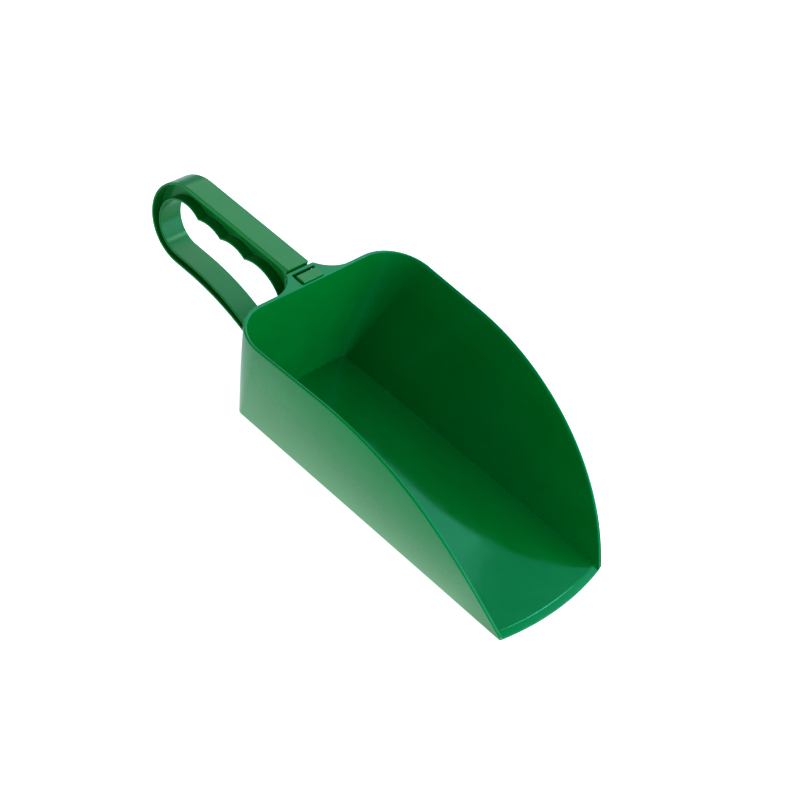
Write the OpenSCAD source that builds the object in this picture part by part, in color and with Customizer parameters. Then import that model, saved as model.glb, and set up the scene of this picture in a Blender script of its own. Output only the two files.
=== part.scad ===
// Feed scoop: an open bowl with a loop handle that slides onto rails and snaps in place.
// +X runs toward the scooping edge, +Y across, +Z up.
// Origin: middle of the overall length and width, at ground level.

/* [Bowl] */
// Length of the floor, from the back wall to the front corners
floor_length = 220; // [205:1:235]
// Width of the floor
floor_width = 93.6; // [88:0.2:100]
// Height of the rim above the ground
rim_height = 81.5; // [79:0.5:84]
// Length of the level stretch of the rim, from the back wall
rim_level = 70; // [60:0.5:90]
// Outward slope of the side walls at the back, where they are straight
flare_rear = 0.35; // [0.3:0.01:0.4]
// Outward slope of the side walls at the floor's front corners
flare_front = 0.445; // [0.4:0.005:0.5]
// Slope a side wall of full height would lose on its way up at the front
flare_loss = 0.38; // [0.3:0.01:0.45]
// Backward lean of the back wall
back_lean = 0.055; // [0.03:0.005:0.07]
// Plan radius of the rear corners at the rim
corner_rim = 28.6; // [22:0.2:30]
// Plan radius of the rear corners at the floor
corner_foot = 4.4; // [3:0.1:5]
// Thickness of the walls
wall = 2.4; // [2:0.1:2.8]
// Thickness of the floor
floor_thickness = 2.8; // [2.4:0.1:3.4]

/* [Scooping edge] */
// How far the scooping edge bulges past the front corners
lip_bulge = 5; // [3:0.5:8]
// Width of the bevel along the scooping edge
lip_bevel = 4.5; // [3:0.5:7]
// Thickness left at the scooping edge
lip_edge = 1.2; // [0.8:0.1:1.8]

/* [Collar] */
// Distance of the collar's rear edge behind the back wall's foot
collar_reach = 16; // [15.6:0.1:16.4]
// Half the width of the collar where it runs out into the rim
collar_spread = 32; // [29:0.5:34]
// Radius of the collar's concave sides
collar_fillet = 24; // [22:0.5:25]
// Thickness of the collar
collar_thickness = 2.4; // [2:0.1:2.8]

/* [Handle] */
// Width of the handle
handle_width = 18; // [16:0.5:20]
// How far the handle's top stands above the rim
handle_proud = 0.9; // [0.5:0.1:1.5]
// Distance of the loop's far end behind the back wall's foot
handle_reach = 132.4; // [130:0.2:135]
// Outer radius of the loop's round end
loop_radius = 28.9; // [28:0.1:29.5]
// Thickness of the top flange
top_flange = 2.9; // [2.5:0.1:3.2]
// Thickness of the other outer flanges
outer_flange = 1.6; // [1.4:0.1:2]
// Thickness of the inner flange
inner_flange = 1.4; // [1.2:0.1:1.8]
// Thickness of the web between the flanges
web = 2.4; // [2:0.1:3]
// Distance between finger grooves
groove_pitch = 21.7; // [20.5:0.1:22]
// Radius of the finger grooves
groove_radius = 22.7; // [22:0.1:24]

/* [Latch] */
// Width of the latch head
head_width = 17.4; // [15:0.1:17.6]
// Width of the springy tongue
tongue_width = 9; // [7:0.5:9.5]
// Thickness of the springy tongue
tongue_thickness = 1.8; // [1.5:0.1:2]

/* [Hidden] */
$fn = 96;
eps = 0.01;
green = [0.05, 0.48, 0.26];
light_green = [0.2, 0.6, 0.38];
dark_green = [0.02, 0.36, 0.18];

// overall length, and the shift that puts the origin at its middle
x_front = floor_length + lip_bulge;
x_mid = (x_front - handle_reach) / 2;

// rim: level, then one arc down to the front corners
rim_run = floor_length - rim_level;
rim_drop = rim_height - floor_thickness;
rim_arc = (rim_run * rim_run + rim_drop * rim_drop) / (2 * rim_drop);

function rim_z(x) =
    x <= rim_level
    ? rim_height
    : rim_height - rim_arc + sqrt(rim_arc * rim_arc - pow(min(x, floor_length) - rim_level, 2));

// outer face of the side walls: half the width at distance x and height z
wall_curve = flare_loss / (2 * rim_height);
function wall_y(x, z) =
    let (share = x / floor_length)
    floor_width / 2 + z * (flare_rear + (flare_front - flare_rear) * share) - z * z * wall_curve * share;

// outer face of the back wall at height z
function back_x(z) = -back_lean * z;

// plan radius of the outer rear corner at height z
function corner_r(z) = corner_foot + (corner_rim - corner_foot) * z / rim_height;

// Stations along the wall, each [side, share of the side wall, corner angle]:
// right side from the front, right corner, left corner, left side to the front
side_steps = 30;
corner_steps = 9;
half_stations = concat(
    [for (i = [side_steps:-1:1]) [i / side_steps, 90]],
    [for (i = [corner_steps:-1:0]) [0, 90 * i / corner_steps]]
);
stations = concat(
    [for (s = half_stations) [-1, s[0], s[1]]],
    [for (i = [len(half_stations) - 1:-1:0]) [1, half_stations[i][0], half_stations[i][1]]]
);

// Point of the wall's skin at a station and height, the skin lying inset inside the outer face
function skin(s, z, inset) =
    let (r = corner_r(z) - inset)
    let (corner_x = back_x(z) + inset + r)
    let (corner_y = wall_y(corner_x, z) - inset - r)
    let (x = corner_x + (floor_length - corner_x) * s[1])
    s[1] > 0
    ? [x, s[0] * (wall_y(x, z) - inset), z]
    : [corner_x - r * cos(s[2]), s[0] * (corner_y + r * sin(s[2])), z];

// Height at which a station's rib meets the rim
function rib_top(s, inset, z, rounds) =
    rounds == 0 ? z : rib_top(s, inset, rim_z(skin(s, z, inset)[0]), rounds - 1);

levels = 12;
function skin_points(inset) = [
    for (s = stations)
        let (top = rib_top(s, inset, rim_height, 6))
        for (j = [0:levels]) skin(s, top * j / levels, inset)
];

// Two triangles for a four-cornered patch
function patch(a, b, c, d) = [[a, c, b], [a, d, c]];

module walls() {
    n = len(stations);
    row = levels + 1;
    inner = n * row;
    outer_faces = [
        for (i = [0:n - 2], j = [0:levels - 1])
            each patch(i * row + j, i * row + j + 1, (i + 1) * row + j + 1, (i + 1) * row + j)
    ];
    inner_faces = [
        for (f = outer_faces) [inner + f[2], inner + f[1], inner + f[0]]
    ];
    rim_faces = [
        for (i = [0:n - 2])
            let (a = i * row + levels, b = a + row)
            each patch(a, inner + a, inner + b, b)
    ];
    foot_faces = [
        for (i = [0:n - 2])
            let (a = i * row, b = a + row)
            each patch(a, b, inner + b, inner + a)
    ];
    end_faces = [
        for (j = [0:levels - 1])
            let (a = j, b = (n - 1) * row + j)
            each concat(patch(a, inner + a, inner + a + 1, a + 1), patch(b, b + 1, inner + b + 1, inner + b))
    ];
    polyhedron(
        points = concat(skin_points(0), skin_points(wall)),
        faces = concat(outer_faces, inner_faces, rim_faces, foot_faces, end_faces)
    );
}

// Scooping edge: one arc through the front corners
lip_radius = (pow(floor_width / 2, 2) + lip_bulge * lip_bulge) / (2 * lip_bulge);
lip_centre = x_front - lip_radius;

module floor_plate() {
    back_outline = [for (s = stations) if (s[1] < 1) [skin(s, 0, 0)[0], skin(s, 0, 0)[1]]];
    difference() {
        linear_extrude(floor_thickness)
            intersection() {
                polygon(concat(back_outline, [[x_front, floor_width / 2], [x_front, -floor_width / 2]]));
                translate([lip_centre, 0]) circle(lip_radius, $fn = 360);
            }
        // bevel on the inside of the scooping edge
        translate([lip_centre, 0, 0])
            rotate_extrude($fn = 360)
                polygon([
                    [lip_radius - lip_bevel, floor_thickness],
                    [lip_radius + 1, lip_edge - (floor_thickness - lip_edge) / lip_bevel],
                    [lip_radius + 1, floor_thickness + 1],
                    [lip_radius - lip_bevel, floor_thickness + 1]
                ]);
    }
}

// Collar: flared plate level with the rim, with a window for the latch head
collar_low = rim_height - collar_thickness;
window_back = -13.4;
window_front = back_x(rim_height) + 0.05;
window_half = head_width / 2 + 0.4;

module collar() {
    rim_back = back_x(rim_height);
    translate([0, 0, collar_low])
        linear_extrude(collar_thickness)
            difference() {
                translate([-collar_reach, -collar_spread])
                    square([collar_reach + rim_back + wall / 2, 2 * collar_spread]);
                for (side = [-1, 1])
                    translate([rim_back - collar_fillet, side * collar_spread])
                        circle(collar_fillet);
                translate([window_back, -window_half])
                    square([window_front - window_back, 2 * window_half]);
            }
}

// Rails on the back wall: two cheeks with lips turned in, open below and closed above by the collar.
// Each cheek widens into a gusset under the collar.
rail_foot = 22;
rail_back = -12;
rail_lip = 2;
lip_top = rim_height - 5.5;
channel_half = 10.6;
cheek = 2.2;
slot_half = 5.5;
gusset_foot = 68;
gusset_back = -15.6;

module rails() {
    for (side = [-1, 1]) {
        translate([0, side * (channel_half + cheek / 2), 0])
            rotate([90, 0, 0])
                linear_extrude(cheek, center = true)
                    polygon([
                        [rail_back, rail_foot],
                        [back_x(rail_foot) + wall / 2, rail_foot],
                        [back_x(collar_low) + wall / 2, collar_low + eps],
                        [gusset_back, collar_low + eps],
                        [rail_back, gusset_foot]
                    ]);
        translate([rail_back, side > 0 ? slot_half : -channel_half - eps, rail_foot])
            cube([rail_lip, channel_half - slot_half + eps, lip_top - rail_foot]);
    }
}

module bowl() {
    color(green)
        translate([-x_mid, 0, 0])
            union() {
                walls();
                floor_plate();
                collar();
                rails();
            }
}

// Handle, drawn in side view: the first axis is X and the second is Z
handle_top = rim_height + handle_proud;
end_x = loop_radius - handle_reach;
end_z = handle_top - loop_radius;
beam_bottom = end_z - loop_radius;
beam_bend_x = -92;
beam_top = beam_bottom + 6.9;
beam_top_radius = 155;
beam_bottom_radius = 175;
grip_end_x = end_x - 1.2;
grip_end_radius = 19.1;
grip_end_z = beam_top + grip_end_radius;
side_back = -15.4;
side_front = -12.5;
side_top = collar_low - 0.3;
side_corner = 10;
top_end = -collar_reach - 1.2;
groove_x = grip_end_x + groove_pitch - 0.85;
groove_top = handle_top - 14.4;
front_radius = 30;

// Ground taken from under the lower beam, deeper by the given amount
module below_beam(level, radius, deeper) {
    translate([beam_bend_x, level - radius])
        circle(radius + deeper, $fn = 360);
    translate([-2 * handle_reach, level - radius])
        square([2 * handle_reach + beam_bend_x, radius + deeper]);
}

// Outer outline of the loop, drawn in by inset
module loop_outline(inset, top_inset, front) {
    intersection() {
        difference() {
            union() {
                translate([end_x, end_z]) circle(loop_radius - inset);
                translate([end_x, beam_bottom - loop_radius])
                    square([front - end_x, handle_top - beam_bottom + loop_radius - inset]);
            }
            below_beam(beam_bottom, beam_bottom_radius, inset);
        }
        translate([-2 * handle_reach, -rim_height])
            square([4 * handle_reach, handle_top + rim_height - top_inset]);
    }
}

// Hand opening, grown by the given amount; its first groove is the round end itself
module hand_opening(grow) {
    translate([grip_end_x, grip_end_z]) circle(grip_end_radius + grow);
    difference() {
        intersection() {
            union() {
                for (i = [0:2])
                    translate([groove_x + i * groove_pitch, groove_top - groove_radius])
                        circle(groove_radius + grow);
                translate([grip_end_x, 0])
                    square([groove_x - grip_end_x, grip_end_z]);
                intersection() {
                    translate([groove_x + 2 * groove_pitch, groove_top - front_radius])
                        circle(front_radius + grow);
                    translate([groove_x + 2 * groove_pitch, 0])
                        square([handle_reach, handle_top]);
                }
            }
            translate([grip_end_x, 0])
                square([side_back - grip_end_x, handle_top]);
        }
        below_beam(beam_top, beam_top_radius, -grow);
    }
}

// Space between the flanges, on either side of the web
module recess_outline() {
    difference() {
        intersection() {
            loop_outline(outer_flange, top_flange, side_back);
            union() {
                translate([-2 * handle_reach, 0])
                    square([2 * handle_reach + side_back - side_corner, handle_top]);
                translate([-2 * handle_reach, 0])
                    square([2 * handle_reach + side_back, handle_top - top_flange - side_corner]);
                translate([side_back - side_corner, handle_top - top_flange - side_corner])
                    circle(side_corner);
            }
        }
        hand_opening(inner_flange);
    }
}

module upright(width) {
    rotate([90, 0, 0])
        linear_extrude(width, center = true)
            children();
}

// Slide that runs in the rails, and the foot that bears on the back wall
neck_half = 5;
slide_half = 10.2;
slide_back = -9.6;
slide_front = -6.4;
slide_foot = 28;
slide_top = 52;
foot_low = 8;
foot_high = 16;
wall_gap = 0.4;
pivot_x = (slide_back + slide_front) / 2;
pivot_z = slide_top - 1;
bead_radius = 1.3;
bead_clearance = 0.05;

module mounting() {
    translate([side_front - eps, -neck_half, slide_foot])
        cube([slide_back - side_front + 2 * eps, 2 * neck_half, slide_top - slide_foot]);
    difference() {
        translate([slide_back, -slide_half, slide_foot])
            cube([slide_front - slide_back, 2 * slide_half, slide_top - slide_foot]);
        // groove that holds the latch's bead
        translate([pivot_x, 0, pivot_z])
            rotate([90, 0, 0])
                cylinder(h = 2 * slide_half + 1, r = bead_radius + bead_clearance, center = true);
    }
    upright(handle_width - 2)
        polygon([
            [side_front - eps, foot_low],
            [back_x(foot_low) - wall_gap, foot_low],
            [back_x(foot_high) - wall_gap, foot_high],
            [side_front - eps, foot_high]
        ]);
}

// Room for the latch head to swing back over the top of the mounting side
head_room = 1;

module handle() {
    color(light_green)
        translate([-x_mid, 0, 0])
            union() {
                difference() {
                    upright(handle_width)
                        difference() {
                            loop_outline(0, 0, side_front);
                            hand_opening(0);
                            // step down to pass under the collar
                            translate([top_end, side_top])
                                square([handle_reach, handle_top]);
                            translate([side_front - head_room, lip_top])
                                square([handle_reach, handle_top]);
                        }
                    for (side = [-1, 1])
                        translate([0, side * (web + handle_width) / 2, 0])
                            upright(handle_width)
                                recess_outline();
                }
                mounting();
            }
}

// Latch: bead in the handle's groove, thin root, tongue, head and hook
head_back = -10.5;
head_neck = window_front - 0.3;
head_hook = -3.4;
head_low = lip_top + 1.4;
head_top = rim_height + 1.5;
hook_low = rim_height + 0.25;
hook_nose = 0.6;
root_thickness = 1.2;
root_top = slide_top + 0.8;

module latch() {
    color(dark_green)
        translate([-x_mid, 0, 0])
            union() {
                translate([pivot_x, 0, pivot_z])
                    rotate([90, 0, 0])
                        cylinder(h = tongue_width, r = bead_radius, center = true);
                translate([pivot_x - root_thickness / 2, -tongue_width / 2, pivot_z])
                    cube([root_thickness, tongue_width, root_top - pivot_z + eps]);
                translate([pivot_x - tongue_thickness / 2, -tongue_width / 2, root_top])
                    cube([tongue_thickness, tongue_width, head_low - root_top + eps]);
                upright(head_width)
                    polygon([
                        [head_back, head_low],
                        [head_neck, head_low],
                        [head_neck, hook_low],
                        [head_hook, hook_low],
                        [head_hook, head_top - hook_nose],
                        [head_hook - hook_nose, head_top],
                        [head_back, head_top]
                    ]);
            }
}

bowl();
handle();
latch();
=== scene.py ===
import math

import bmesh
import bpy
from mathutils import Matrix, Vector


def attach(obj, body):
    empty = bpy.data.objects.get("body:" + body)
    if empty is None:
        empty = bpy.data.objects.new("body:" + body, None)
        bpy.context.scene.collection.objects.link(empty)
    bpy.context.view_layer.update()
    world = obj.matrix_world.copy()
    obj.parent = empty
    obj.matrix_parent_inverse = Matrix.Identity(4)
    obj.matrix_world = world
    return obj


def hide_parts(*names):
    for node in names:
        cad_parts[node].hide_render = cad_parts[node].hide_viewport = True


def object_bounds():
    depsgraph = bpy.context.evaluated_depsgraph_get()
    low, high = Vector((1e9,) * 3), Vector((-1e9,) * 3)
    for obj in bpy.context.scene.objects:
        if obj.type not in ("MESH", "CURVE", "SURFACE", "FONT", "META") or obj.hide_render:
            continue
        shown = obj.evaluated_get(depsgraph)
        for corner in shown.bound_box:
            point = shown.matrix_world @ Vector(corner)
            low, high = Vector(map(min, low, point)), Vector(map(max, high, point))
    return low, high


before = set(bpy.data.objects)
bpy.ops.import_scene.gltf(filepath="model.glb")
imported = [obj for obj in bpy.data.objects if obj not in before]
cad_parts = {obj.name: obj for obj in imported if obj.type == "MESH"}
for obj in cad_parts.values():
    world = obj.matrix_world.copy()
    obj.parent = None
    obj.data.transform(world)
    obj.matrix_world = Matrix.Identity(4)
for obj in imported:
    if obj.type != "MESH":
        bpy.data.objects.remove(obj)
cad_lo, cad_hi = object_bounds()

# ---------------------------------------------------------------- camera
# Lengths in this section are in metres, in the shared frame.
AIM = Vector((0.03815, -0.00801, 0.05805))
AZIMUTH, ELEVATION, ROLL = 30.676, 40.949, 18.602
DISTANCE = 1.1639
FOCAL_PIXELS, IMAGE_PIXELS = 1992.15, 800


def make_camera():
    a, e, r = map(math.radians, (AZIMUTH, ELEVATION, ROLL))
    back = Vector((math.sin(a) * math.cos(e), -math.cos(a) * math.cos(e), math.sin(e)))
    right = Vector((0, 0, 1)).cross(back).normalized()
    up = back.cross(right)
    tilted_right = math.cos(r) * right + math.sin(r) * up
    tilted_up = -math.sin(r) * right + math.cos(r) * up
    data = bpy.data.cameras.new("camera")
    data.sensor_width = 36
    data.lens = 36 * FOCAL_PIXELS / IMAGE_PIXELS
    camera = bpy.data.objects.new("camera", data)
    bpy.context.scene.collection.objects.link(camera)
    m = Matrix((tilted_right, tilted_up, back)).transposed().to_4x4()
    m.translation = AIM + back * DISTANCE
    camera.matrix_world = m
    bpy.context.scene.camera = camera


# ---------------------------------------------------------------- the bowl's surfaces
# From here to the materials, lengths are in millimetres, with x = 0 at the back wall's foot.
FLOOR_LENGTH, FLOOR_WIDTH, FLOOR = 220.0, 93.6, 2.8
RIM, RIM_LEVEL, WALL = 81.5, 70.0, 2.4
FLARE_REAR, FLARE_FRONT, FLARE_LOSS = 0.35, 0.445, 0.38
LEAN, CORNER_RIM, CORNER_FOOT = 0.055, 28.6, 4.4
LIP_BULGE, LIP_BEVEL, LIP_EDGE = 5.0, 4.5, 1.2
X_SHIFT = cad_hi.x * 1000 - FLOOR_LENGTH - LIP_BULGE

RIM_DROP = RIM - FLOOR
RIM_RUN = FLOOR_LENGTH - RIM_LEVEL
RIM_ARC = (RIM_RUN**2 + RIM_DROP**2) / (2 * RIM_DROP)
LIP_RADIUS = ((FLOOR_WIDTH / 2) ** 2 + LIP_BULGE**2) / (2 * LIP_BULGE)
LIP_CENTRE = FLOOR_LENGTH + LIP_BULGE - LIP_RADIUS
LIP_BLEND, LIP_HALF = 30.0, 48.0

RIM_ROUND, BACK_ROUND, FILLET, FOOT_ROUND, LIP_ROUND, CREASE = 1.15, 0.5, 0.15, 0.8, 0.35, 0.12
SIDE_STEPS, LIP_STEPS, CORNER_STEPS, BACK_STEPS, HEIGHT_STEPS = 50, 14, 14, 28, 20
LIP_ZONE = 8.0


def rim_z(x):
    """Height of the rim: level at the back, then a falling arc to the floor's front corners."""
    if x <= RIM_LEVEL:
        return RIM
    return RIM - RIM_ARC + math.sqrt(RIM_ARC**2 - (min(x, FLOOR_LENGTH) - RIM_LEVEL) ** 2)


def wall_y(x, z):
    """Half width of the bowl outside, flared by a slope that eases off on the way up toward the front."""
    share = x / FLOOR_LENGTH
    slope = FLARE_REAR + (FLARE_FRONT - FLARE_REAR) * share
    return FLOOR_WIDTH / 2 + z * slope - z * z * FLARE_LOSS / (2 * RIM) * share


def back_x(z):
    return -LEAN * z


def corner_r(z):
    return CORNER_FOOT + (CORNER_RIM - CORNER_FOOT) * z / RIM


def lip_shift(x, y):
    """How far forward the curved scooping edge carries a point of a straight cross-section."""
    share = min(max((x - FLOOR_LENGTH + LIP_BLEND) / LIP_BLEND, 0), 1)
    return share * (LIP_CENTRE + math.sqrt(LIP_RADIUS**2 - y * y) - FLOOR_LENGTH)


def floor_z(x, y):
    """Height of the floor's top, with the bevel along the scooping edge."""
    edge = LIP_CENTRE + math.sqrt(LIP_RADIUS**2 - min(abs(y), LIP_HALF) ** 2)
    into = 1 - (edge - x) / LIP_BEVEL
    if into <= 0:
        return FLOOR
    ramp = into * into / (2 * CREASE) if into < CREASE else into - CREASE / 2
    return FLOOR - (FLOOR - LIP_EDGE) * min(ramp, 1.0)


def wall_point(station, z, inset, ahead):
    """A point of the wall; station is (kind, side or share of the back, share of the side or angle)."""
    kind, side, value = station
    corner_x = back_x(z) + corner_r(z)
    corner_y = wall_y(corner_x, z) - corner_r(z)
    r = corner_r(z) - inset
    if kind == "back":
        return back_x(z) + inset, side * corner_y, z
    if kind == "corner":
        a = math.radians(value)
        return corner_x - r * math.cos(a), side * (corner_y + r * math.sin(a)), z
    x = corner_x + (FLOOR_LENGTH - LIP_ROUND - corner_x) * value + ahead
    y = wall_y(x, z) - inset
    return x + lip_shift(x, y), side * y, z


def station_top(station, inset):
    """Height of the rim at a station, found by stepping, because the leaning wall moves x as z changes."""
    z = RIM
    for _ in range(8):
        x, _y, _z = wall_point(station, z, inset, 0)
        z = rim_z(x)
    return z


def rim_round(station):
    """The rim is well rounded on the side walls and crisper along the back, where the collar meets it."""
    kind, _side, value = station
    share = {"back": 0.0, "corner": value / 90}.get(kind, 1.0)
    return BACK_ROUND + (RIM_ROUND - BACK_ROUND) * share


def profile(station, ahead=0.0, shrink=0.0):
    """The wall's section at a station, from its foot outside, over the rim, to the floor inside."""
    top_out, top_in = station_top(station, 0), station_top(station, WALL)
    x, y, _z = wall_point(station, FLOOR, WALL, ahead)
    inner_floor = floor_z(x, y)
    rise = top_in - inner_floor
    rounding = rim_round(station)
    k = min(1.0, 0.9 * rise / (rounding + FILLET))
    r_out = min(rounding, 0.6 * (top_out - FOOT_ROUND)) - shrink * 0.5
    r_in, fillet = (rounding - shrink * 0.5) * k, FILLET * k
    pts = []
    for i in range(4):
        a = math.radians(90 * (1 - i / 3))
        pts.append((FOOT_ROUND * (1 - math.cos(a)) + shrink, FOOT_ROUND * (1 - math.sin(a)) + shrink))
    low, high = FOOT_ROUND + shrink, top_out - shrink - r_out
    for i in range(1, HEIGHT_STEPS):
        pts.append((shrink, low + (high - low) * i / HEIGHT_STEPS))
    for i in range(6):
        a = math.radians(90 * i / 5)
        pts.append((shrink + r_out * (1 - math.cos(a)), high + r_out * math.sin(a)))
    high = top_in - shrink - r_in
    for i in range(6):
        a = math.radians(90 * (1 - i / 5))
        pts.append((WALL - shrink - r_in * (1 - math.cos(a)), high + r_in * math.sin(a)))
    base = inner_floor - shrink
    low = base + fillet
    for i in range(1, HEIGHT_STEPS):
        pts.append((WALL - shrink, high + (low - high) * i / HEIGHT_STEPS))
    for i in range(6):
        a = math.radians(90 * i / 5)
        pts.append((WALL - shrink + fillet * (1 - math.cos(a)), low - fillet * math.sin(a)))
    return [wall_point(station, z, inset, ahead) for inset, z in pts]


def mesh_object(name, verts, faces):
    mesh = bpy.data.meshes.new(name)
    mesh.from_pydata([((x + X_SHIFT) / 1000, y / 1000, z / 1000) for x, y, z in verts], [], faces)
    obj = bpy.data.objects.new(name, mesh)
    bpy.context.scene.collection.objects.link(obj)
    return obj


def clean(obj, merge=1e-6, sharp=32):
    """Merges doubled points, makes the normals agree, and marks the sharp edges of a smooth mesh."""
    bm = bmesh.new()
    bm.from_mesh(obj.data)
    bmesh.ops.remove_doubles(bm, verts=bm.verts, dist=merge)
    bmesh.ops.dissolve_degenerate(bm, edges=bm.edges, dist=merge)
    bmesh.ops.recalc_face_normals(bm, faces=bm.faces)
    for f in bm.faces:
        f.smooth = True
    for e in bm.edges:
        e.smooth = not (len(e.link_faces) == 2 and e.calc_face_angle(0) > math.radians(sharp))
    bm.to_mesh(obj.data)
    bm.free()


def bake_modifiers(obj):
    graph = bpy.context.evaluated_depsgraph_get()
    mesh = bpy.data.meshes.new_from_object(obj.evaluated_get(graph))
    obj.modifiers.clear()
    obj.data = mesh


def side_share(i):
    """Side stations crowd toward the front, where the rim falls steeply, and once more at the lip's bevel."""
    lip = LIP_ZONE / FLOOR_LENGTH
    if i > SIDE_STEPS:
        return 1 - lip + lip * (i - SIDE_STEPS) / LIP_STEPS
    u = i / SIDE_STEPS
    return (1 - lip) * (0.55 * u + 0.45 * (1 - (1 - u) ** 2))


def make_bowl():
    caps = [
        (LIP_ROUND * math.sin(a), LIP_ROUND * (1 - math.cos(a)))
        for a in (math.radians(30), math.radians(60), math.radians(90))
    ]

    def half(side):
        out = [(("corner", side, 90 * i / CORNER_STEPS), 0.0, 0.0) for i in range(CORNER_STEPS + 1)]
        out += [(("side", side, side_share(i)), 0.0, 0.0) for i in range(1, SIDE_STEPS + LIP_STEPS + 1)]
        return out + [(("side", side, 1.0), ahead, shrink) for ahead, shrink in caps]

    right, left = half(-1), half(1)
    back = [(("back", -1 + 2 * i / BACK_STEPS, 0), 0.0, 0.0) for i in range(1, BACK_STEPS)]
    ribs = right[::-1] + back + left
    verts, faces = [], []

    def add(points):
        first = len(verts)
        verts.extend(points)
        return list(range(first, first + len(points)))

    ribbon = [add(profile(*rib)) for rib in ribs]
    for a, b in zip(ribbon, ribbon[1:]):
        for j in range(len(a) - 1):
            faces.append((a[j], a[j + 1], b[j + 1], b[j]))

    n_half = len(right)

    def ladder(ring, top):
        """Rows across the floor between the ribbon's right and left stations."""
        rows = [[r[ring] for r in ribbon[n_half - 1 : n_half + BACK_STEPS]]]
        for i in range(1, n_half):
            r_id, l_id = ribbon[n_half - 1 - i][ring], ribbon[n_half + BACK_STEPS - 1 + i][ring]
            r_pt, l_pt = verts[r_id], verts[l_id]
            station, _ahead, shrink = right[i]
            base_x = r_pt[0] - (lip_shift_of(r_pt) if station[0] == "side" else 0)
            points = []
            for j in range(1, BACK_STEPS):
                y = r_pt[1] + (l_pt[1] - r_pt[1]) * j / BACK_STEPS
                x = base_x + lip_shift(base_x, y)
                points.append((x, y, (floor_z(x, y) - shrink) if top else shrink))
            rows.append([r_id] + add(points) + [l_id])
        for a, b in zip(rows, rows[1:]):
            for j in range(BACK_STEPS):
                faces.append((a[j], a[j + 1], b[j + 1], b[j]))
        return rows[-1]

    def lip_shift_of(p):
        """Undoes lip_shift for a point that has it already."""
        x = p[0]
        for _ in range(6):
            x = p[0] - lip_shift(x, p[1])
        return p[0] - x

    top_row = ladder(-1, True)
    low_row = ladder(0, False)
    for j in range(BACK_STEPS):
        faces.append((top_row[j], top_row[j + 1], low_row[j + 1], low_row[j]))
    faces.append(tuple(ribbon[0]))
    faces.append(tuple(ribbon[-1][::-1]))
    obj = mesh_object("bowl_shell", verts, faces)
    clean(obj)
    return obj


# ---------------------------------------------------------------- collar and rails, moulded with the bowl
RIM_BACK = back_x(RIM)
COLLAR_REACH, COLLAR_SPREAD, COLLAR_FILLET, COLLAR_THICKNESS = 16.0, 32.0, 24.0, 2.4
COLLAR_LOW = RIM - COLLAR_THICKNESS
WINDOW_BACK, WINDOW_HALF = -13.4, 9.1
RAIL_FOOT, RAIL_BACK, RAIL_LIP, LIP_TOP = 22.0, -12.0, 2.0, RIM - 5.5
CHANNEL_HALF, CHEEK, SLOT_HALF = 10.6, 2.2, 5.5
GUSSET_FOOT, GUSSET_BACK = 68.0, -15.6
EMBED, RAIL_EMBED = 0.01, 0.9
COLLAR_FRONT, COLLAR_TOE, COLLAR_SIDE = 1.7, 0.6, 2.5
CUT_DEPTH, CUT_X, CUT_Y = 2, (-40, 10), (-60, 60)
COLLAR_STEPS = 26


def prism(name, outline, low, high, axis):
    """A straight prism along axis "z" or "y"; outline lists (x, y) points for "z" and (x, z) points for "y"."""
    n = len(outline)
    if axis == "z":
        verts = [(u, v, h) for h in (low, high) for u, v in outline]
    else:
        verts = [(u, h, v) for h in (low, high) for u, v in outline]
    faces = [tuple(range(n)), tuple(range(2 * n - 1, n - 1, -1))]
    faces += [(i, i + n, (i + 1) % n + n, (i + 1) % n) for i in range(n)]
    obj = mesh_object(name, verts, faces)
    clean(obj)
    return obj


def box(name, x0, x1, y0, y1, z0, z1):
    return prism(name, [(x0, y0), (x1, y0), (x1, y1), (x0, y1)], z0, z1, "z")


def combine(obj, other, operation):
    mod = obj.modifiers.new("combine", "BOOLEAN")
    mod.operation, mod.solver, mod.object = operation, "MANIFOLD", other
    bake_modifiers(obj)
    bpy.data.objects.remove(other)


def merge_flat(obj, merge=3e-5, angle=0.2):
    """Joins doubled points and the triangles of flat faces into whole faces, ready to be bevelled."""
    bm = bmesh.new()
    bm.from_mesh(obj.data)
    bmesh.ops.remove_doubles(bm, verts=bm.verts, dist=merge)
    bmesh.ops.dissolve_limit(bm, angle_limit=math.radians(angle), verts=bm.verts, edges=bm.edges)
    bm.to_mesh(obj.data)
    bm.free()


def round_edges(obj, width, segments=3, angle=40):
    mod = obj.modifiers.new("bevel", "BEVEL")
    mod.width, mod.segments, mod.limit_method = width / 1000, segments, "ANGLE"
    mod.angle_limit, mod.use_clamp_overlap, mod.miter_outer = math.radians(angle), False, "MITER_ARC"
    bake_modifiers(obj)


def make_collar():
    """The collar with its window: rounded above and sharp below, so it is made deeper and cut off."""
    reach = math.sqrt(COLLAR_FILLET**2 - (COLLAR_REACH + RIM_BACK - COLLAR_FILLET) ** 2)
    start = math.atan2(reach, COLLAR_FILLET - COLLAR_REACH - RIM_BACK)
    side = []
    for i in range(COLLAR_STEPS + 1):
        a = start * (1 - i / COLLAR_STEPS)
        side.append((
            RIM_BACK - COLLAR_FILLET + COLLAR_FILLET * math.cos(a) + EMBED,
            COLLAR_SPREAD - COLLAR_FILLET * math.sin(a),
        ))
    front, end = RIM_BACK + COLLAR_FRONT, COLLAR_SPREAD + COLLAR_SIDE
    side += [(RIM_BACK + COLLAR_TOE, end), (front, end)]
    side += [(front, WINDOW_HALF), (WINDOW_BACK, WINDOW_HALF)]
    outline = side + [(x, -y) for x, y in side[::-1]]
    collar = prism("collar", outline, COLLAR_LOW - CUT_DEPTH, RIM - EMBED, "z")
    round_edges(collar, 0.6, 3)
    underside = box("underside", *CUT_X, *CUT_Y, COLLAR_LOW - CUT_DEPTH - 1, COLLAR_LOW)
    combine(collar, underside, "DIFFERENCE")
    return collar


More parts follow.
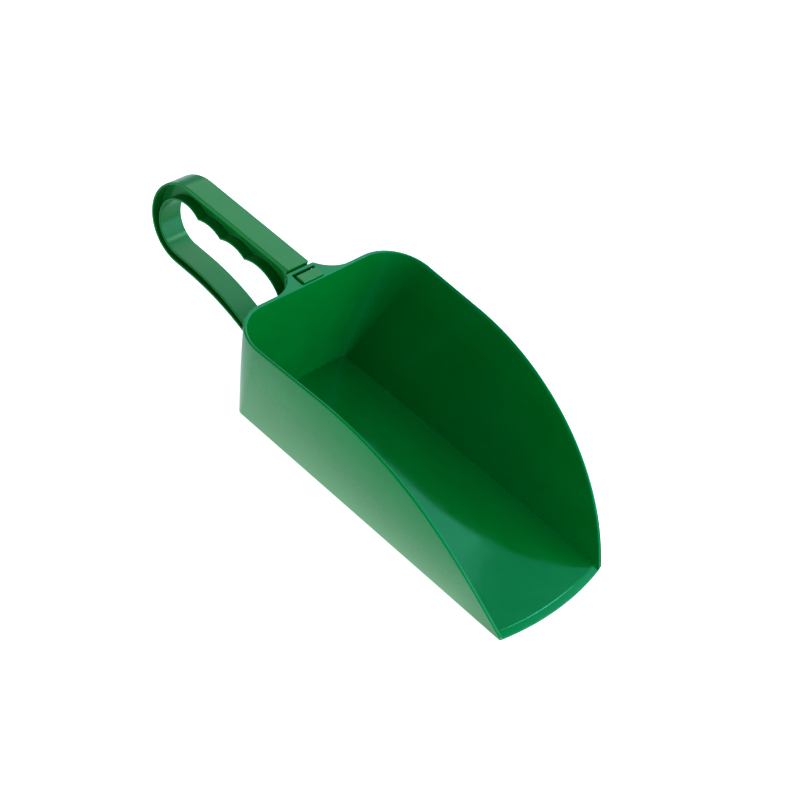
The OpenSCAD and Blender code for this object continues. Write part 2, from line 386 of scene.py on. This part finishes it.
def make_rail(side):
    """One rail: a cheek that widens into a gusset under the collar, and a lip that holds the slide."""
    outline = [
        (RAIL_BACK, RAIL_FOOT),
        (back_x(RAIL_FOOT) + WALL / 2, RAIL_FOOT),
        (back_x(COLLAR_LOW) + WALL / 2, COLLAR_LOW + RAIL_EMBED),
        (GUSSET_BACK, COLLAR_LOW + RAIL_EMBED),
        (RAIL_BACK, GUSSET_FOOT),
    ]
    inner, outer = sorted((side * CHANNEL_HALF, side * (CHANNEL_HALF + CHEEK)))
    rail = prism("rail", outline, inner, outer, "y")
    ends = sorted((side * SLOT_HALF, side * (CHANNEL_HALF + CHEEK / 2)))
    lip = box("rail_lip", RAIL_BACK, RAIL_BACK + RAIL_LIP, ends[0], ends[1], RAIL_FOOT, LIP_TOP)
    combine(rail, lip, "UNION")
    merge_flat(rail)
    round_edges(rail, 0.4, 2)
    return rail


def moulded_copy(node, name, width):
    """A copy of a CAD node whose flat faces are whole and whose edges are rounded."""
    obj = bpy.data.objects.new(name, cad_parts[node].data.copy())
    bpy.context.scene.collection.objects.link(obj)
    merge_flat(obj)
    round_edges(obj, width)
    clean(obj, merge=1e-7)
    return obj


make_camera()
bowl = make_bowl()
for piece in (make_collar(), make_rail(-1), make_rail(1)):
    combine(bowl, piece, "UNION")
clean(bowl, merge=4e-6)
handle = moulded_copy("handle", "handle_moulding", 0.6)
latch = moulded_copy("latch", "latch_moulding", 0.45)
for piece, node in ((bowl, "bowl"), (handle, "handle"), (latch, "latch")):
    mod = piece.modifiers.new("normals", "WEIGHTED_NORMAL")
    mod.keep_sharp = True
    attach(piece, node)
    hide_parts(node)

# ---------------------------------------------------------------- materials
# From here on, lengths are in metres again.


def grow(tree, kind, a, b=None, operation=None):
    """Adds a Math or Vector Math node and feeds its first two inputs with sockets or constants."""
    node = tree.nodes.new(kind)
    node.operation = operation
    for socket, value in zip(node.inputs, (a, b)):
        if isinstance(value, bpy.types.NodeSocket):
            tree.links.new(value, socket)
        elif value is not None:
            socket.default_value = value
    return node


def noise(tree, place, scale, detail=2.0, stretch=(1, 1, 1)):
    """Noise from 0 to 1, drawn out along the axes where stretch is small."""
    node = tree.nodes.new("ShaderNodeTexNoise")
    node.inputs["Scale"].default_value, node.inputs["Detail"].default_value = scale, detail
    place = grow(tree, "ShaderNodeVectorMath", place, stretch, "MULTIPLY").outputs["Vector"]
    tree.links.new(place, node.inputs["Vector"])
    return node.outputs["Fac"]


def remap(tree, value, source, target):
    node = tree.nodes.new("ShaderNodeMapRange")
    node.interpolation_type = "SMOOTHSTEP"
    tree.links.new(value, node.inputs["Value"])
    for socket, number in zip(node.inputs[1:5], source + target):
        socket.default_value = number
    return node.outputs["Result"]


def maths(tree, operation, a, b=None):
    return grow(tree, "ShaderNodeMath", a, b, operation).outputs[0]


def scratches(tree, place, scale, stretch, width):
    """Thin wandering lines: 1 on a scratch, 0 away from it."""
    level = noise(tree, place, scale, 1.0, stretch)
    away = maths(tree, "ABSOLUTE", maths(tree, "SUBTRACT", level, 0.5))
    return remap(tree, away, (0.0, width), (1.0, 0.0))


def plastic(name, roughness, tint, flow, scuff_sheen_height):
    """Glossy moulded plastic: pigment drift, flow marks, soft waviness, fine scratches, and scuffed low edges
    whose paler green is also a painted reflection of the bright floor.
    """
    mat = bpy.data.materials.new(name)
    mat.use_nodes = True
    tree = mat.node_tree
    p = tree.nodes["Principled BSDF"]
    p.inputs["Specular Tint"].default_value = tint
    place = tree.nodes.new("ShaderNodeTexCoord").outputs["Object"]

    # colour: a slow drift of pigment, and marks where the melt flowed along the mould
    drift = noise(tree, place, 30.0, 3.0)
    marks = noise(tree, place, 1.0, 2.0, flow)
    share = maths(tree, "ADD", maths(tree, "MULTIPLY", drift, 0.5), maths(tree, "MULTIPLY", marks, 0.5))
    colour = tree.nodes.new("ShaderNodeMix")
    colour.data_type = "RGBA"
    colour.inputs[6].default_value, colour.inputs[7].default_value = DEEP_GREEN, PALE_GREEN
    tree.links.new(remap(tree, share, (0.3, 0.7), (0.0, 1.0)), colour.inputs[0])

    # scuffs and painted sheen: low edges rubbed rougher, and a paler green toward the foot that paints the
    # reflection of the bright floor, broken up by noise
    height = tree.nodes.new("ShaderNodeSeparateXYZ")
    tree.links.new(place, height.inputs[0])
    low = remap(tree, height.outputs["Z"], (0.0, scuff_sheen_height), (1.0, 0.0))
    patches = remap(tree, noise(tree, place, 160.0, 4.0), (0.35, 0.75), (0.15, 1.0))
    scuff_and_sheen = maths(tree, "MULTIPLY", low, patches)
    sheen_mix = tree.nodes.new("ShaderNodeMix")
    sheen_mix.data_type = "RGBA"
    sheen_mix.inputs[7].default_value = SCUFF_AND_SHEEN_GREEN
    tree.links.new(maths(tree, "MULTIPLY", scuff_and_sheen, 0.7), sheen_mix.inputs[0])
    tree.links.new(colour.outputs[2], sheen_mix.inputs[6])
    tree.links.new(sheen_mix.outputs[2], p.inputs["Base Color"])

    # gloss: hazier patches, scratches along and across, and the scuffs
    along = scratches(tree, place, 1.0, (14, 520, 520), 0.006)
    across = scratches(tree, place, 1.0, (330, 90, 210), 0.004)
    lines = maths(tree, "MAXIMUM", along, maths(tree, "MULTIPLY", across, 0.6))
    sparse = remap(tree, noise(tree, place, 22.0, 2.0), (0.45, 0.65), (0.0, 1.0))
    lines = maths(tree, "MULTIPLY", lines, sparse)
    haze = remap(tree, noise(tree, place, 70.0, 4.0), (0.35, 0.7), (roughness, roughness + 0.05))
    rough = maths(tree, "ADD", haze, maths(tree, "MULTIPLY", lines, 0.1))
    rough = maths(tree, "ADD", rough, maths(tree, "MULTIPLY", scuff_and_sheen, 0.25))
    tree.links.new(rough, p.inputs["Roughness"])

    # relief, in millimetres: sink waviness, orange peel and the scratches' depth
    waves = maths(tree, "MULTIPLY", noise(tree, place, 38.0, 1.0), 0.03)
    peel = maths(tree, "MULTIPLY", noise(tree, place, 900.0, 1.0), 0.0008)
    relief = maths(tree, "SUBTRACT", maths(tree, "ADD", waves, peel), maths(tree, "MULTIPLY", lines, 0.0015))
    bump = tree.nodes.new("ShaderNodeBump")
    bump.inputs["Strength"].default_value, bump.inputs["Distance"].default_value = 1.0, 0.001
    tree.links.new(relief, bump.inputs["Height"])
    tree.links.new(bump.outputs["Normal"], p.inputs["Normal"])
    return mat


# The third green is paler: near the foot it paints the reflection of the bright floor, along with the scuffing.
DEEP_GREEN, PALE_GREEN, SCUFF_AND_SHEEN_GREEN = (0.0, 0.138, 0.014, 1), (0.0, 0.156, 0.018, 1), (0.06, 0.21, 0.07, 1)
BOWL_TINT, HANDLE_TINT = (0.0, 1.0, 0.8, 1), (0.4, 1.0, 0.7, 1)
bowl_plastic = plastic("bowl_plastic", 0.08, BOWL_TINT, (14, 60, 60), 0.0025)
handle_plastic = plastic("handle_plastic", 0.2, HANDLE_TINT, (9, 260, 260), 0.0005)
for piece, material in ((bowl, bowl_plastic), (handle, handle_plastic), (latch, handle_plastic)):
    piece.data.materials.clear()
    piece.data.materials.append(material)

# ---------------------------------------------------------------- light and stage
DOME = (0.15, 0.23, 0.23)
COOL, COOL_RED = (0.8, 1.0, 1.3), (0.3, 1.0, 1.0)
# soft lobes of the dome: azimuth from +X toward +Y, elevation, strength, colour
LOBES = (
    (0, 12, 1.0, COOL),
    (45, 12, 1.0, COOL),
    (90, 12, 0.45, COOL_RED),
    (135, 12, 0.2, COOL_RED),
    (60, 45, 0.5, COOL_RED),
    (225, 12, 0.6, (1, 1, 1)),
)
FRONT_POWER, FILL_POWER, HANDLE_POWER, ACCENT_POWER = 6.8, 1.7, 1.0, 0.35
STAGE_FAR, STAGE_NEAR, STAGE_REACH, STAGE_WHITE = 0.14, 0.8, 0.09, 0.9
STAGE_SIZE, STAGE_DROP = 4, 0.0003
GLOW_MIDDLE, GLOW_HALF = (0.045, 0, 0), (0.09, 0.0468, 0)
LOBE_EDGE, LOBE_CORE = 0.5, 0.985
scene = bpy.context.scene
scene.view_settings.view_transform = "Standard"


def dome():
    """Soft studio dome: a dim even white with broad soft lobes, and plain white for the camera."""
    world = bpy.data.worlds.new("world")
    scene.world = world
    world.use_nodes = True
    tree = world.node_tree
    direction = tree.nodes.new("ShaderNodeTexCoord").outputs["Generated"]
    total = DOME
    for azimuth, elevation, strength, colour in LOBES:
        az, el = math.radians(azimuth), math.radians(elevation)
        toward = (math.cos(az) * math.cos(el), math.sin(az) * math.cos(el), math.sin(el))
        facing = grow(tree, "ShaderNodeVectorMath", direction, toward, "DOT_PRODUCT")
        lobe = tree.nodes.new("ShaderNodeMapRange")
        lobe.interpolation_type = "SMOOTHSTEP"
        lobe.inputs["From Min"].default_value, lobe.inputs["From Max"].default_value = LOBE_EDGE, LOBE_CORE
        lobe.inputs["To Max"].default_value = strength
        tree.links.new(facing.outputs["Value"], lobe.inputs["Value"])
        glow = grow(tree, "ShaderNodeVectorMath", lobe.outputs["Result"], colour, "MULTIPLY")
        total = grow(tree, "ShaderNodeVectorMath", glow.outputs["Vector"], total, "ADD").outputs["Vector"]
    seen = tree.nodes.new("ShaderNodeLightPath").outputs["Is Camera Ray"]
    total = grow(tree, "ShaderNodeVectorMath", total, seen, "MAXIMUM").outputs["Vector"]
    tree.links.new(total, tree.nodes["Background"].inputs["Color"])


dome()


def softbox(name, place, target, size, power, colour=(1, 1, 1)):
    data = bpy.data.lights.new(name, "AREA")
    data.shape, data.size, data.size_y, data.energy = "RECTANGLE", size[0], size[1], power
    data.color = colour
    obj = bpy.data.objects.new(name, data)
    scene.collection.objects.link(obj)
    obj.location = place
    obj.rotation_euler = (Vector(target) - Vector(place)).to_track_quat("-Z", "Y").to_euler()
    obj.visible_camera = False
    return obj


softbox("front", (1.35, 0.15, 0.36), (-0.05, 0, 0.04), (0.5, 0.3), FRONT_POWER, COOL).visible_glossy = False
softbox("low_fill", (0.05, -0.6, 0.04), (0.05, -0.06, 0.04), (1.0, 0.07), FILL_POWER).visible_glossy = False
softbox("handle_side", (-0.42, 0.46, 0.52), (-0.1, 0, 0.05), (0.56, 0.46), HANDLE_POWER)
softbox("lip_accent", (0.064, 0.505, 0.6), (0.17, -0.015, 0), (0.14, 0.1), ACCENT_POWER)


def make_stage():
    """A plain pale floor that glows softly round the bowl's foot."""
    mesh = bpy.data.meshes.new("stage_floor")
    corners = [(x * STAGE_SIZE, y * STAGE_SIZE, 0) for x, y in ((-1, -1), (1, -1), (1, 1), (-1, 1))]
    mesh.from_pydata(corners, [], [(0, 1, 2, 3)])
    stage = bpy.data.objects.new("stage_floor", mesh)
    stage.location.z = -STAGE_DROP
    scene.collection.objects.link(stage)
    pale = bpy.data.materials.new("stage_floor")
    pale.use_nodes = True
    tree = pale.node_tree
    p = tree.nodes["Principled BSDF"]
    p.inputs["Base Color"].default_value = (0.8, 0.8, 0.8, 1)
    p.inputs["Roughness"].default_value = 0.7
    p.inputs["Specular IOR Level"].default_value = 0.0
    p.inputs["Emission Color"].default_value = (1, 1, 1, 1)
    place = tree.nodes.new("ShaderNodeTexCoord").outputs["Object"]
    from_middle = grow(tree, "ShaderNodeVectorMath", place, GLOW_MIDDLE, "SUBTRACT").outputs["Vector"]
    outward = grow(tree, "ShaderNodeVectorMath", from_middle, None, "ABSOLUTE").outputs["Vector"]
    beyond = grow(tree, "ShaderNodeVectorMath", outward, GLOW_HALF, "SUBTRACT").outputs["Vector"]
    beyond = grow(tree, "ShaderNodeVectorMath", beyond, (0, 0, 0), "MAXIMUM").outputs["Vector"]
    distance = grow(tree, "ShaderNodeVectorMath", beyond, None, "LENGTH").outputs["Value"]
    fade = tree.nodes.new("ShaderNodeMapRange")
    fade.inputs["From Max"].default_value = STAGE_REACH
    fade.inputs["To Min"].default_value, fade.inputs["To Max"].default_value = 1.0, 0.0
    tree.links.new(distance, fade.inputs["Value"])
    glow = maths(tree, "MULTIPLY", maths(tree, "POWER", fade.outputs["Result"], 2.0), STAGE_NEAR)
    glow = maths(tree, "ADD", glow, STAGE_FAR)
    seen = tree.nodes.new("ShaderNodeLightPath").outputs["Is Camera Ray"]
    strength = maths(tree, "MAXIMUM", glow, maths(tree, "MULTIPLY", seen, STAGE_WHITE))
    tree.links.new(strength, p.inputs["Emission Strength"])
    mesh.materials.append(pale)


make_stage()
